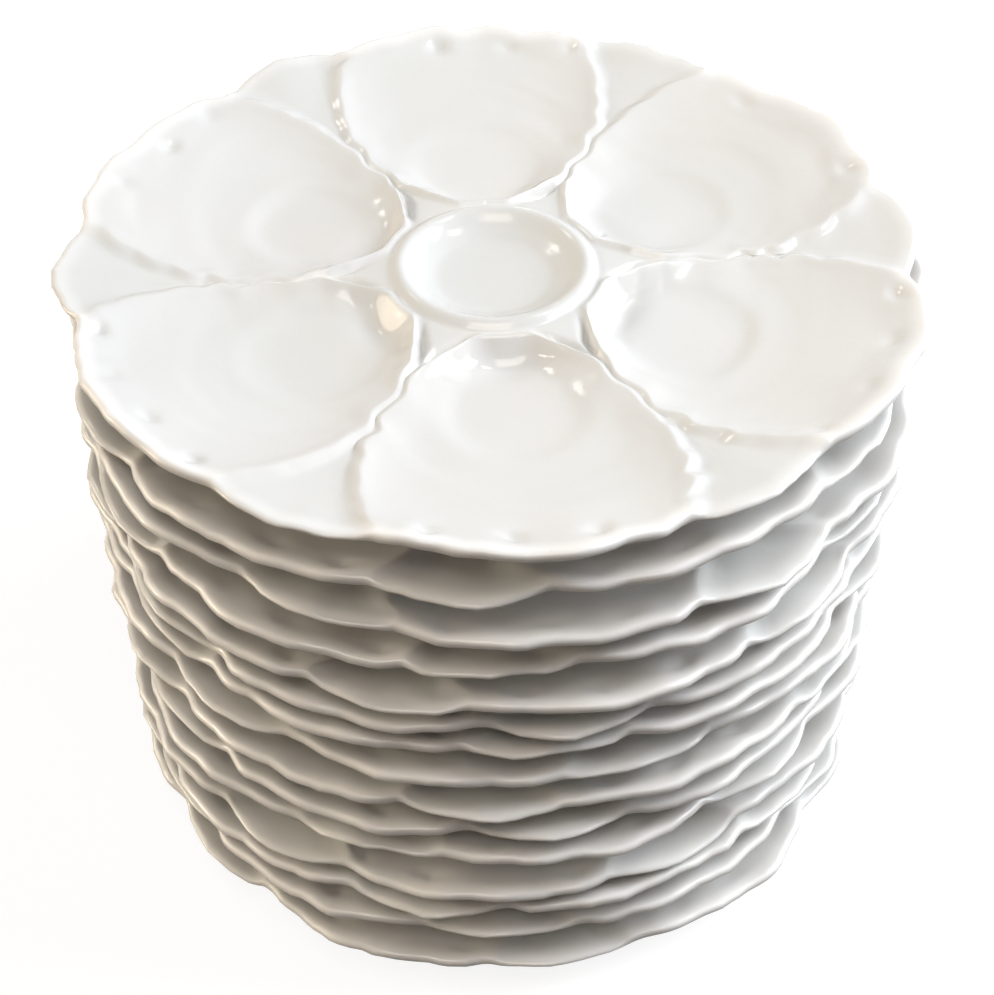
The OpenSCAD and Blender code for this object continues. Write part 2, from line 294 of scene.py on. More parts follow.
# %% Centre well, whole top and underside
WELL_BLEND = 2 * MM
well_heights = curve(
    [
        (0, WELL_FLOOR_HEIGHT), (0.10, WELL_FLOOR_HEIGHT), (0.140, 1.08 * WELL_FLOOR_HEIGHT),
        (0.180, 0.79 * CREST_HEIGHT), (0.213, 1.00 * CREST_HEIGHT), (0.222, 1.03 * CREST_HEIGHT),
        (0.230, 1.00 * CREST_HEIGHT), (0.252, 0.97 * GROOVE_HEIGHT), (1, 0.97 * GROOVE_HEIGHT),
    ],
    0.0065,
)


def top_height(radius, share):
    """Height of the upper face at a radius and share."""
    outside = ease((radius - GROOVE_RADIUS + WELL_BLEND / 2) / WELL_BLEND)
    body = blend(well_heights(radius / RIM_RADIUS), relief(radius, share), outside)
    return body + wave(radius, share)


def under_height(radius, share):
    """Height of the underside, without its foot ring."""
    reach = radius / EDGE_START
    body = blend(FOOT_DEPTH, RIM_HEIGHT - EDGE_THICKNESS, under_climb(reach))
    return body + wave(radius, share)


crest_in_mm = float(top_height(CREST_RADIUS, np.array(0.5))) / MM
print("height of the crest, in mm:", round(crest_in_mm, 2))

# %% [markdown]
# ## From the rule to a mesh
# The mesh is a set of rings of points from the middle of the top, over the rim, to the
# middle of the underside. An even grid would cut across the shells' edges and leave teeth
# in them. So the columns follow the edges: some lie on the web, and the rest on the shell,
# closest together where it meets its lip.

# %% Columns and rings of the grid
WIDEST_WEB = 22 * MM
WEB_CROWDING = 1.7
SHELL_CROWDING = 1.3


def column_shares(radius, web_columns, shell_columns):
    """Signed shares of one sector's columns, from a shell's middle over the web."""
    edge = float(shell_edge(radius / RIM_RADIUS))
    steps = np.arange(1, web_columns + 1)
    even = edge * steps / web_columns
    close = WIDEST_WEB * (steps / web_columns) ** WEB_CROWDING / (radius * SECTOR / 2)
    web = edge - np.append(np.minimum(close, even)[:-1], edge)[::-1]
    shell = blend(edge, 1, (np.arange(shell_columns) / shell_columns) ** SHELL_CROWDING)
    half = np.concatenate([web, shell])
    return np.concatenate([[-1], -half[:0:-1], half])


def top_radii(fineness):
    """Radii of the rings on the upper face, closest at the crest, hinge ends and rim."""
    stops = np.array([0, 0.12, 0.32, 0.42, 0.80, 0.93, 1]) * EDGE_START
    counts = (np.array([3, 32, 12, 33, 20, 18]) * fineness).astype(int)
    parts = [np.linspace(a, b, n, endpoint=False) for a, b, n in zip(stops, stops[1:], counts)]
    return np.concatenate(parts)[1:]


print("rings on the finest upper face:", len(top_radii(1.0)))

# %% The rings of a whole plate
FOOT_SQUARENESS = 0.5
# Where the rim band begins whose glaze is painted paler: partly thinner glaze, partly painted
# light on the rims.
THIN_AND_LIT_START_SHARE = 0.955
THIN_AND_LIT_FADE_SHARE = 0.045
BARE_HEIGHT_SHARE = 0.3
EDGE_RINGS = 9
UNDER_RINGS = 26
INNER_UNDER_RINGS = 7


def foot_profile():
    """Radii and heights of the underside over the foot ring, from outside inwards."""
    middle = (FOOT_OUTER_RADIUS + FOOT_INNER_RADIUS) / 2
    half = (FOOT_OUTER_RADIUS - FOOT_INNER_RADIUS) / 2
    turns = np.radians(np.arange(0, 181, 15))
    across = np.sign(np.cos(turns)) * np.abs(np.cos(turns)) ** FOOT_SQUARENESS
    radii = middle + half * across
    heights = FOOT_DEPTH * 0.5 * (1 - np.sin(turns) ** FOOT_SQUARENESS)
    return radii, heights


def plate_rings(fineness, web_columns, shell_columns):
    """Rings of points, each with what the tree and the glaze need to know."""
    rows = []
    sectors = np.arange(SHELL_COUNT)[:, None] * SECTOR

    def add_ring(radius, height, shares, cover, bare=0.0, thin_glaze_and_light=0.0):
        """Adds a ring of points; height is a function of their radii and shares."""
        signed = np.tile(shares, SHELL_COUNT)
        share = np.abs(signed)
        even = np.full(share.shape, radius)
        rows.append(
            {
                "radius": lobed(radius, share) if radius > WAVE_START_SHARE * RIM_RADIUS else even,
                "height": height(even, share),
                "angle": (sectors + shares[None, :] * SECTOR / 2).ravel(),
                "side": np.sign(signed),
                "inside": inside_shell(even, share),
                "growth": from_pocket(even, share),
                "share": share,
                "cover": np.full(share.shape, cover),
                "bare": np.full(share.shape, bare),
                "thin_glaze_and_light": np.full(share.shape, thin_glaze_and_light),
            }
        )

    for radius in top_radii(fineness):
        shares = column_shares(radius, web_columns, shell_columns)
        # Share of the rim band painted paler, partly for thinner glaze and partly as painted
        # light.
        thin_glaze_and_light = float(ease((radius / EDGE_START - THIN_AND_LIT_START_SHARE) / THIN_AND_LIT_FADE_SHARE))
        add_ring(radius, top_height, shares, 1.0, thin_glaze_and_light=thin_glaze_and_light)
    shares = column_shares(EDGE_START, web_columns, shell_columns)

    # The rounded edge lies wholly in the rim band painted paler: partly thinner glaze, partly
    # painted light.
    for turn in np.radians(np.linspace(90, -90, EDGE_RINGS)):
        def edge_height(even, share, turn=turn):
            high = top_height(np.full(share.shape, EDGE_START), share)
            low = under_height(np.full(share.shape, EDGE_START), share)
            return (high + low) / 2 + (high - low) / 2 * math.sin(turn)
        round_radius = EDGE_START + EDGE_ROUNDING * math.cos(turn)
        add_ring(round_radius, edge_height, shares, max(math.sin(turn), 0), thin_glaze_and_light=1.0)

    under_count = int(UNDER_RINGS * fineness)
    for radius in np.linspace(EDGE_START, FOOT_OUTER_RADIUS + FOOT_SLOPE, under_count)[1:]:
        add_ring(radius, under_height, shares, 0.0)

    for radius, foot_height in zip(*foot_profile()):
        bare = 1.0 if foot_height < BARE_HEIGHT_SHARE * FOOT_DEPTH else 0.0
        add_ring(radius, lambda r, s, h=foot_height: np.full(s.shape, h), shares, 0.0, bare)
    for radius in np.linspace(FOOT_INNER_RADIUS - FOOT_SLOPE, 0, INNER_UNDER_RINGS)[:-1]:
        add_ring(radius, lambda r, s: np.full(s.shape, FOOT_DEPTH), shares, 0.0)
    return rows


print("foot ring points across:", len(foot_profile()[0]))

# %% A mesh from the rings


def plate_mesh(name, fineness, web_columns, shell_columns):
    """Closed mesh of one plate, with its rule's values kept as attributes."""
    rows = plate_rings(fineness, web_columns, shell_columns)
    count = len(rows[0]["angle"])
    values = {key: np.concatenate([row[key] for row in rows]) for key in rows[0]}
    radius, angle = values["radius"], values["angle"]
    points = np.stack([radius * np.cos(angle), radius * np.sin(angle), values["height"]], axis=1)
    points = np.vstack([points, [0, 0, WELL_FLOOR_HEIGHT], [0, 0, FOOT_DEPTH]])

    ring = np.arange(count)
    after = (ring + 1) % count
    start = np.arange(len(rows) - 1)[:, None] * count
    quads = np.stack(
        [start + ring, start + count + ring, start + count + after, start + after], axis=2
    ).reshape(-1, 4)
    top, bottom = len(points) - 2, len(points) - 1
    outer = (len(rows) - 1) * count
    fans = [(top, int(i), int(j)) for i, j in zip(ring, after)]
    fans += [(bottom, int(outer + j), int(outer + i)) for i, j in zip(ring, after)]
    mesh = bpy.data.meshes.new(name)
    mesh.from_pydata(points.tolist(), [], quads.tolist() + fans)
    for key in ("inside", "growth", "share", "cover", "bare", "thin_glaze_and_light", "side"):
        attribute = mesh.attributes.new(key, "FLOAT", "POINT")
        ends = [float(values[key][0]), float(values[key][-1])]
        attribute.data.foreach_set("value", np.append(values[key], ends).astype(np.float32))
    mesh.update()
    return mesh


# Fineness of the rings, and columns on a web and on a shell, counted over half a sector
FINE_GRID = (1.1, 11, 24)
PLAIN_GRID = (0.65, 7, 14)
fine_mesh = plate_mesh("fine_plate", *FINE_GRID)
plain_mesh = plate_mesh("plain_plate", *PLAIN_GRID)
print("faces of the fine and plain plates:", len(fine_mesh.polygons), len(plain_mesh.polygons))

# %% [markdown]
# ## The camera
# The photograph was taken from above the front edge. A pinhole camera was fitted to the top
# rim, the lowest rim and the centre well, which gave these values in rim radii from the
# middle of the top rim, the pitch, and the focal length in pixels of a 994 by 995 image.

# %% Camera values
PHOTO_HEIGHT_PX = 995
FOCAL_PX = 1780.6
CAMERA_RIGHT_SHARE = 0.009
CAMERA_AWAY_SHARE = 3.421
CAMERA_UP_SHARE = 2.477
CAMERA_PITCH = math.radians(44.01)
print("camera above the rim, in rim radii:", CAMERA_UP_SHARE)

# %% Where the plates lie


def lean_matrix(i):
    """Turns a plate's upright axes into its leaning ones."""
    x = LEAN_LIMIT * front_lean_shares[i]
    y = LEAN_LIMIT * side_lean_shares[i]
    return Matrix.Rotation(y, 3, "Y") @ Matrix.Rotation(x, 3, "X")


def slip(i):
    """Sideways place of a plate before the stack is centred."""
    return Vector((SLIP_LIMIT * right_slip_shares[i], SLIP_LIMIT * back_slip_shares[i], 0))


def lip_points(i):
    """Points on a plate's lips where the next foot ring can rest."""
    points = []
    for radius in (FOOT_INNER_RADIUS, FOOT_OUTER_RADIUS):
        edge = np.interp(radius / RIM_RADIUS, *np.array(shell_edge_shares).T)
        for k in range(SHELL_COUNT):
            for share in (-edge, edge):
                angle = math.radians(plate_turns[i]) + SECTOR * k + SECTOR / 2 * share
                at = Vector((radius * math.cos(angle), radius * math.sin(angle), RIDGE_HEIGHT))
                points.append(lean_matrix(i) @ at + slip(i))
    return points


def rest_rise(i):
    """Rise of a plate's origin over that of the plate below."""
    up = lean_matrix(i) @ Vector((0, 0, 1))
    seats = [point - slip(i) for point in lip_points(i - 1)]
    return max(p.z + (up.x * p.x + up.y * p.y) / up.z for p in seats) + SEAT_GAP


rests = [0.0]
for i in range(1, len(PLATES)):
    rests.append(rests[-1] + rest_rise(i))
print("height of the top plate's foot, in mm:", round(rests[-1] / MM, 2))

# %% Middle of the stack
top_low, top_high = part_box("top_plate")
top_base = rests[-1]
print("top plate's box in mm:", [round(v / MM, 2) for v in (*top_low, *top_high)])


def stack_middle():
    """Half way across the rims' reach, where the frame has its origin."""
    reach = []
    shares = column_shares(RIM_RADIUS, 2, 5)
    for i in range(len(PLATES)):
        for k in range(SHELL_COUNT):
            for share in shares:
                own_angle = SECTOR * k + SECTOR / 2 * share
                angle = math.radians(plate_turns[i]) + own_angle
                lobe = LOBE_DEPTH * np.interp(abs(share), *np.array(outline_shares).T)
                swing = RUFFLE_REACH * ruffle(own_angle, RUFFLE_TURN * i)
                radius = RIM_RADIUS + lobe + swing
                at = Vector((radius * math.cos(angle), radius * math.sin(angle), RIM_HEIGHT))
                reach.append(lean_matrix(i) @ at + slip(i))
    xs = [p.x for p in reach]
    ys = [p.y for p in reach]
    return Vector(((min(xs) + max(xs)) / 2, (min(ys) + max(ys)) / 2, 0))


middle = stack_middle()
print("middle of the stack in mm:", [round(v / MM, 2) for v in middle])

# %% Make the camera
rim_middle = slip(len(PLATES) - 1) - middle + Vector((0, 0, top_base + RIM_HEIGHT))
camera_data = bpy.data.cameras.new("camera")
camera_data.sensor_width = 36
camera_data.lens = FOCAL_PX / PHOTO_HEIGHT_PX * camera_data.sensor_width
camera_data.clip_start = 0.01
camera = bpy.data.objects.new("camera", camera_data)
bpy.context.collection.objects.link(camera)
camera.location = rim_middle + RIM_RADIUS * Vector(
    (CAMERA_RIGHT_SHARE, -CAMERA_AWAY_SHARE, CAMERA_UP_SHARE)
)
camera.rotation_euler = (math.pi / 2 - CAMERA_PITCH, 0, 0)
bpy.context.scene.camera = camera
print("camera at, in mm:", [round(v / MM) for v in camera.location])

# %% [markdown]
# ## Light and floor
# The photograph's light comes from a tall window on the right, from above the front edge
# and, warmer, from a room on the left. Three lamps stand for the window, one above the
# front for the ceiling and one low and warm for the room. Three small ones only make the
# glints in the well and on the left. One big soft lamp would be simpler, but the glaze
# mirrors each lamp, so glints fall in the right places only with lamps in theirs. Light
# from high up keeps the rims bright and the gaps dark. Floor and world show white to the
# camera and in reflections, but light the plates very little, and the floor keeps the
# plates' shadow.

# %% Lamps
STACK_CENTRE = Vector((0, 0, 0.1))
# Name, place and side in metres, power in watts and colour of each lamp
LAMPS = [
    ("window", (0.90, 0.05, 0.86), 0.60, 13.0, (0.89, 0.94, 1.0)),
    ("window_top", (0.62, 0.20, 1.55), 0.25, 2.0, (0.90, 0.95, 1.0)),
    ("window_foot", (0.92, 0.30, 0.32), 0.5, 6.4, (0.92, 0.95, 1.0)),
    ("ceiling", (-0.05, -0.66, 1.55), 0.75, 7.9, (1.0, 0.91, 0.83)),
    ("left_room", (-1.2, 0.0, 0.42), 0.8, 10.4, (1.0, 0.85, 0.64)),
    ("left_glint", (-1.2, -0.02, 0.40), 0.16, 1.5, (1.0, 0.95, 0.84)),
    ("left_lamp", (-0.8, 0.70, 1.25), 0.22, 1.2, (1.0, 0.98, 0.94)),
    ("left_spark", (-0.85, -0.45, 1.0), 0.10, 0.4, (1.0, 0.97, 0.92)),
]


def area_lamp(name, place, size, power, colour):
    """Adds a square lamp that faces the stack."""
    data = bpy.data.lights.new(name, "AREA")
    data.size = size
    data.energy = power
    data.color = colour
    lamp = bpy.data.objects.new(name, data)
    bpy.context.collection.objects.link(lamp)
    lamp.location = place
    aim = STACK_CENTRE - Vector(place)
    lamp.rotation_euler = aim.to_track_quat("-Z", "Y").to_euler()


for lamp_values in LAMPS:
    area_lamp(*lamp_values)

# %% World and floor
FLOOR_SIZE = 8.0
WORLD_LIGHT = 0.01
WORLD_LIGHT_COLOUR = (1, 0.96, 0.91, 1)
SHOWN_WORLD = (0.87, 0.87, 0.87, 1)
LIT_FLOOR = (0.10, 0.075, 0.055, 1)
FLOOR_SHADOW = (0.22, 0.22, 0.22, 1)
SHOWN_FLOOR = (0.86, 0.86, 0.86, 1)


def mixed_by_view(tree, lit, shown):
    """Shows one shader to the camera and reflections, and lights with the other."""
    path = tree.nodes.new("ShaderNodeLightPath")
    either = tree.nodes.new("ShaderNodeMath")
    either.operation = "MAXIMUM"
    tree.links.new(path.outputs["Is Camera Ray"], either.inputs[0])
    tree.links.new(path.outputs["Is Glossy Ray"], either.inputs[1])
    mix = tree.nodes.new("ShaderNodeMixShader")
    tree.links.new(either.outputs[0], mix.inputs[0])
    tree.links.new(lit, mix.inputs[1])
    tree.links.new(shown, mix.inputs[2])
    return mix.outputs[0]


world = bpy.data.worlds.new("world")
bpy.context.scene.world = world
world.use_nodes = True
world_tree = world.node_tree
background = world_tree.nodes["Background"]
background.inputs["Color"].default_value = WORLD_LIGHT_COLOUR
background.inputs["Strength"].default_value = WORLD_LIGHT
shown_world = world_tree.nodes.new("ShaderNodeBackground")
shown_world.inputs["Color"].default_value = SHOWN_WORLD
world_tree.links.new(
    mixed_by_view(world_tree, background.outputs[0], shown_world.outputs[0]),
    world_tree.nodes["World Output"].inputs[0],
)

floor_mesh = bpy.data.meshes.new("floor")
half_floor = FLOOR_SIZE / 2
floor_mesh.from_pydata(
    [(-half_floor, -half_floor, 0), (half_floor, -half_floor, 0),
     (half_floor, half_floor, 0), (-half_floor, half_floor, 0)],
    [],
    [(0, 1, 2, 3)],
)
floor = bpy.data.objects.new("floor", floor_mesh)
bpy.context.collection.objects.link(floor)
floor_material = bpy.data.materials.new("floor")
floor_material.use_nodes = True
floor_tree = floor_material.node_tree
lit_floor = floor_tree.nodes["Principled BSDF"]
lit_floor.inputs["Base Color"].default_value = LIT_FLOOR
lit_floor.inputs["Roughness"].default_value = 0.9
shadowed = floor_tree.nodes.new("ShaderNodeBsdfDiffuse")
shadowed.inputs["Color"].default_value = FLOOR_SHADOW
white = floor_tree.nodes.new("ShaderNodeEmission")
white.inputs["Color"].default_value = SHOWN_FLOOR
shown_floor = floor_tree.nodes.new("ShaderNodeAddShader")
floor_tree.links.new(shadowed.outputs[0], shown_floor.inputs[0])
floor_tree.links.new(white.outputs[0], shown_floor.inputs[1])
floor_tree.links.new(
    mixed_by_view(floor_tree, lit_floor.outputs[0], shown_floor.outputs[0]),
    floor_tree.nodes["Material Output"].inputs[0],
)
floor_mesh.materials.append(floor_material)
print("floor is", FLOOR_SIZE, "m wide")

# %% [markdown]
# ## Glazed porcelain
# The glaze is a thin, clear, glossy coat over a warm white body. It is never quite even: it
# pools a little on the webs, where its colour is also darkened as painted shade in the crease
# at each lip's foot; it is painted paler over the rim, partly for thinner glaze and partly as
# painted light on the rims; the underside is painted darker as painted shade, which keeps the
# gaps between the plates dark; its gloss drifts, and a few kiln specks show. One plain white
# would do for a plate far away.
# Here colour follows the values that the mesh keeps, so it fits the relief from all sides.
# The foot ring is wiped bare before firing, so it is matt. Both finishes share one group
# for drift and specks, and each shader stays in its own material.

# %% Node helpers


def feed(tree, socket, value):
    """Sets a socket to a number, colour or vector, or links another socket to it."""
    if isinstance(value, (int, float, tuple)):
        socket.default_value = value
    else:
        tree.links.new(value, socket)


def math_node(tree, operation, *values):
    """Adds a Math node and returns its output; values are numbers or sockets."""
    node = tree.nodes.new("ShaderNodeMath")
    node.operation = operation
    for socket, value in zip(node.inputs, values):
        feed(tree, socket, value)
    return node.outputs[0]


def noise_node(tree, vector, scale, detail=2.0, w=None):
    """Adds a Noise Texture and returns its value, which lies about 0.5."""
    node = tree.nodes.new("ShaderNodeTexNoise")
    node.inputs["Scale"].default_value = scale
    node.inputs["Detail"].default_value = detail
    tree.links.new(vector, node.inputs["Vector"])
    if w is not None:
        node.noise_dimensions = "4D"
        tree.links.new(w, node.inputs["W"])
    return node.outputs[0]


def number_sockets(tree, in_out, names_and_defaults):
    """Gives a node group its number sockets."""
    for socket_name, default in names_and_defaults:
        socket = tree.interface.new_socket(
            socket_name, in_out=in_out, socket_type="NodeSocketFloat"
        )
        socket.default_value = default


print("made the node helpers")

# %% The group for drift and specks
FINE_SCALE = 420.0
SPECK_CHANCE = 0.03
drift = bpy.data.node_groups.new("Kiln drift", "ShaderNodeTree")
number_sockets(
    drift, "INPUT", (("Drift scale", 18.0), ("Speck scale", 240.0), ("Speck size", 0.05))
)
number_sockets(drift, "OUTPUT", (("Drift", 0.0), ("Fine", 0.0), ("Specks", 0.0)))
drift_in = drift.nodes.new("NodeGroupInput")
drift_out = drift.nodes.new("NodeGroupOutput")
place = drift.nodes.new("ShaderNodeTexCoord").outputs["Object"]
broad = drift.nodes.new("ShaderNodeTexNoise")
broad.inputs["Detail"].default_value = 3.0
drift.links.new(place, broad.inputs["Vector"])
drift.links.new(drift_in.outputs["Drift scale"], broad.inputs["Scale"])
fine = drift.nodes.new("ShaderNodeTexNoise")
fine.inputs["Scale"].default_value = FINE_SCALE
fine.inputs["Detail"].default_value = 1.0
drift.links.new(place, fine.inputs["Vector"])
cells = drift.nodes.new("ShaderNodeTexVoronoi")
drift.links.new(place, cells.inputs["Vector"])
drift.links.new(drift_in.outputs["Speck scale"], cells.inputs["Scale"])
rare = drift.nodes.new("ShaderNodeSeparateColor")
drift.links.new(cells.outputs["Color"], rare.inputs[0])
chosen = math_node(drift, "GREATER_THAN", rare.outputs[0], 1 - SPECK_CHANCE)
near = math_node(drift, "LESS_THAN", cells.outputs["Distance"], drift_in.outputs["Speck size"])
drift.links.new(broad.outputs[0], drift_out.inputs["Drift"])
drift.links.new(fine.outputs[0], drift_out.inputs["Fine"])
drift.links.new(math_node(drift, "MULTIPLY", chosen, near), drift_out.inputs["Specks"])
print("nodes in the drift group:", len(drift.nodes))

# %% Helpers for the finishes


def colour_mix(tree, factor, first, second):
    """Mixes two colours by a factor."""
    node = tree.nodes.new("ShaderNodeMix")
    node.data_type = "RGBA"
    tree.links.new(factor, node.inputs["Factor"])
    for socket, value in ((node.inputs[6], first), (node.inputs[7], second)):
        feed(tree, socket, (*value, 1) if isinstance(value, tuple) else value)
    return node.outputs[2]


def spread(tree, value, from_low, from_high, to_low, to_high):
    """Spreads a value from one range to another, with soft ends."""
    node = tree.nodes.new("ShaderNodeMapRange")
    node.interpolation_type = "SMOOTHSTEP"
    tree.links.new(value, node.inputs[0])
    for socket, number in zip(node.inputs[1:5], (from_low, from_high, to_low, to_high)):
        socket.default_value = number
    return node.outputs[0]


def with_drift(tree, drift_scale, speck_size):
    """Places the drift group with its own values."""
    node = tree.nodes.new("ShaderNodeGroup")
    node.node_tree = drift
    node.inputs["Drift scale"].default_value = drift_scale
    node.inputs["Speck size"].default_value = speck_size
    return node


def kept_value(tree, attribute_name):
    """Reads a value that the plate's mesh keeps at each point."""
    node = tree.nodes.new("ShaderNodeAttribute")
    node.attribute_name = attribute_name
    return node.outputs["Fac"]


def fine_bump(tree, shader, height, strength, distance):
    """Roughens a finish a little, below what its mesh shows."""
    bump = tree.nodes.new("ShaderNodeBump")
    bump.inputs["Strength"].default_value = strength
    bump.inputs["Distance"].default_value = distance
    tree.links.new(height, bump.inputs["Height"])
    tree.links.new(bump.outputs[0], shader.inputs["Normal"])


print("made the helpers for the finishes")

# %% The glaze
WARM_GLAZE, COOL_GLAZE = (0.75, 0.74, 0.72), (0.73, 0.73, 0.71)
# The rim's paler glaze is partly thinner glaze and partly painted light that brightens the rims.
THIN_GLAZE_AND_RIM_LIGHT, POOLED_GLAZE_AND_SHADE = (0.89, 0.88, 0.86), (0.68, 0.69, 0.67)
# The underside colour is painted shade: darker than the glaze, so that the gaps between the plates
# stay dark.
UNDERSIDE_PAINTED_SHADE, SPECK = (0.55, 0.525, 0.49), (0.55, 0.50, 0.44)
# The pool at the foot of each lip on the web: a tint of thicker glaze, and partly painted shade
# darkening that crease.
POOL_AND_SHADE_WIDTH = 4 * MM
POOL_AND_SHADE_SHARE = 0.35
SPECK_SHARE = 0.5
glaze = bpy.data.materials.new("porcelain_glaze")
glaze.use_nodes = True
tree = glaze.node_tree
shader = tree.nodes["Principled BSDF"]
kiln = with_drift(tree, 16.0, 0.06)
drifted = spread(tree, kiln.outputs["Drift"], 0.35, 0.65, 0, 1)
body_colour = colour_mix(tree, drifted, WARM_GLAZE, COOL_GLAZE)
# Rim painted paler: partly thinner glaze, partly painted light on the rims.
thin_and_lit_rim = colour_mix(tree, kept_value(tree, "thin_glaze_and_light"), body_colour, THIN_GLAZE_AND_RIM_LIGHT)
# Pooled glaze at each lip's foot: partly a glaze tint, partly painted shade in the crease.
on_web = spread(tree, kept_value(tree, "inside"), -POOL_AND_SHADE_WIDTH, 0.0, 1.0, 0.0)
pool_and_shade = math_node(tree, "MULTIPLY", on_web, POOL_AND_SHADE_SHARE)
pooled_and_shaded = colour_mix(tree, pool_and_shade, thin_and_lit_rim, POOLED_GLAZE_AND_SHADE)
# Painted shade: the underside takes the darker colour, by the upper-face share 'cover'.
shaded_underneath = colour_mix(tree, kept_value(tree, "cover"), UNDERSIDE_PAINTED_SHADE, pooled_and_shaded)
specks = math_node(tree, "MULTIPLY", kiln.outputs["Specks"], SPECK_SHARE)
tree.links.new(colour_mix(tree, specks, shaded_underneath, SPECK), shader.inputs["Base Color"])
gloss = spread(tree, kiln.outputs["Drift"], 0.3, 0.7, 0.07, 0.17)
tree.links.new(gloss, shader.inputs["Roughness"])
shader.inputs["IOR"].default_value = 1.5
fine_bump(tree, shader, kiln.outputs["Fine"], 0.10, 0.4 * MM)
print("nodes in the glaze:", len(tree.nodes))

# %% The bare foot ring
PALE_BARE, DARK_BARE = (0.80, 0.78, 0.73), (0.68, 0.65, 0.59)
bare_body = bpy.data.materials.new("bare_porcelain")
bare_body.use_nodes = True
tree = bare_body.node_tree
shader = tree.nodes["Principled BSDF"]
kiln = with_drift(tree, 60.0, 0.10)
drifted = spread(tree, kiln.outputs["Drift"], 0.3, 0.7, 0, 1)
tree.links.new(colour_mix(tree, drifted, PALE_BARE, DARK_BARE), shader.inputs["Base Color"])
grain = spread(tree, kiln.outputs["Fine"], 0.3, 0.7, 0.55, 0.8)
tree.links.new(grain, shader.inputs["Roughness"])
fine_bump(tree, shader, kiln.outputs["Fine"], 0.4, 0.2 * MM)
print("finishes:", glaze.name, bare_body.name)

# %% [markdown]
# ## Scallops, growth lines and pits, and each plate's place
# The lips of the shells are scalloped, low steps run round inside them like the growth
# lines of a real shell, the rim is ruffled, and small pits dent the face just inside it.
# All of these follow the lips and the rim, and no two plates are quite alike. By hand that
# would be fifteen sculptures, so a tree of Geometry Nodes adds them, with a seed for each
# plate, and then turns the plate, leans it and lays it on the one below.

# %% The tree's inputs
finish_tree = bpy.data.node_groups.new("Plate finish", "GeometryNodeTree")
TREE_INPUTS = [
    ("Geometry", "NodeSocketGeometry", None),
    ("Turn", "NodeSocketFloat", 0.0),
    ("Lean", "NodeSocketVector", (0, 0, 0)),
    ("Place", "NodeSocketVector", (0, 0, 0)),
    ("Ruffle start", "NodeSocketFloat", 0.0),
    ("Rise start", "NodeSocketFloat", 0.0),
    ("Ruffle reach", "NodeSocketFloat", RUFFLE_REACH),
    ("Ruffle height", "NodeSocketFloat", RUFFLE_HEIGHT),
    ("Scallop length", "NodeSocketFloat", 10 * MM),
    ("Scallop depth", "NodeSocketFloat", 2.8 * MM),
    ("Scallop lift", "NodeSocketFloat", 0.45 * MM),
    ("Scallop reach", "NodeSocketFloat", 5.5 * MM),
    ("Sway length", "NodeSocketFloat", 15 * MM),
    ("Sway", "NodeSocketFloat", 0.8 * MM),
    ("Growth spacing", "NodeSocketFloat", 17 * MM),
    ("Growth height", "NodeSocketFloat", 0.16 * MM),
    ("Terrace depth", "NodeSocketFloat", 0.55 * MM),
    ("Hollow depth", "NodeSocketFloat", 1.7 * MM),
    ("Corner depth", "NodeSocketFloat", 2.6 * MM),
    ("Pit count", "NodeSocketFloat", 33.0),
    ("Pit depth", "NodeSocketFloat", 1.5 * MM),
    ("Ripple size", "NodeSocketFloat", 11 * MM),
    ("Ripple reach", "NodeSocketFloat", 3.6 * MM),
    ("Ripple height", "NodeSocketFloat", 1.7 * MM),
    ("Warp height", "NodeSocketFloat", 1.0 * MM),
    ("Seed", "NodeSocketFloat", 1.0),
    ("Glaze", "NodeSocketMaterial", None),
    ("Bare body", "NodeSocketMaterial", None),
]
finish_tree.interface.new_socket("Geometry", in_out="OUTPUT", socket_type="NodeSocketGeometry")
for socket_name, kind, default in TREE_INPUTS:
    socket = finish_tree.interface.new_socket(socket_name, in_out="INPUT", socket_type=kind)
    if default is not None:
        socket.default_value = default
entry = finish_tree.nodes.new("NodeGroupInput").outputs
print("inputs of the tree:", len(TREE_INPUTS))

# %% Short names for sums in the tree


def add(*values):
    """Adds two or more values."""
    total = values[0]
    for value in values[1:]:
        total = math_node(finish_tree, "ADD", total, value)
    return total


def times(*values):
    """Multiplies two or more values."""
    total = values[0]
    for value in values[1:]:
        total = math_node(finish_tree, "MULTIPLY", total, value)
    return total


def less(first, second):
    """Takes the second value from the first."""
    return math_node(finish_tree, "SUBTRACT", first, second)


def over(first, second):
    """Divides the first value by the second."""
    return math_node(finish_tree, "DIVIDE", first, second)


def hump(value, middle_value, width):
    """Is 1 at the middle and fades to 0 on both sides."""
    ratio = over(less(value, middle_value), width)
    return math_node(finish_tree, "EXPONENT", times(ratio, ratio, -1.0))


def fade(value, start, full):
    """Goes from 0 at the start to 1 at full."""
    return spread(finish_tree, value, start, full, 0.0, 1.0)


def named(attribute_name):
    """Reads a value that the plate's mesh keeps at each point."""
    node = finish_tree.nodes.new("GeometryNodeInputNamedAttribute")
    node.data_type = "FLOAT"
    node.inputs["Name"].default_value = attribute_name
    return node.outputs["Attribute"]


print("made the helpers for sums")

# %% Vectors and fixed chances in the tree


def vector_of(x=0.0, y=0.0, z=0.0):
    """Makes a vector of three values, which are numbers or sockets."""
    node = finish_tree.nodes.new("ShaderNodeCombineXYZ")
    for socket, value in zip(node.inputs, (x, y, z)):
        feed(finish_tree, socket, value)
    return node.outputs[0]


def vector_math(operation, *vectors):
    """Adds a Vector Math node and returns it; vectors are tuples or sockets."""
    node = finish_tree.nodes.new("ShaderNodeVectorMath")
    node.operation = operation
    for socket, vector in zip(node.inputs, vectors):
        feed(finish_tree, socket, vector)
    return node


def scaled(vector, factor):
    """Multiplies a vector by a value."""
    node = vector_math("SCALE", vector)
    finish_tree.links.new(factor, node.inputs["Scale"])
    return node.outputs["Vector"]


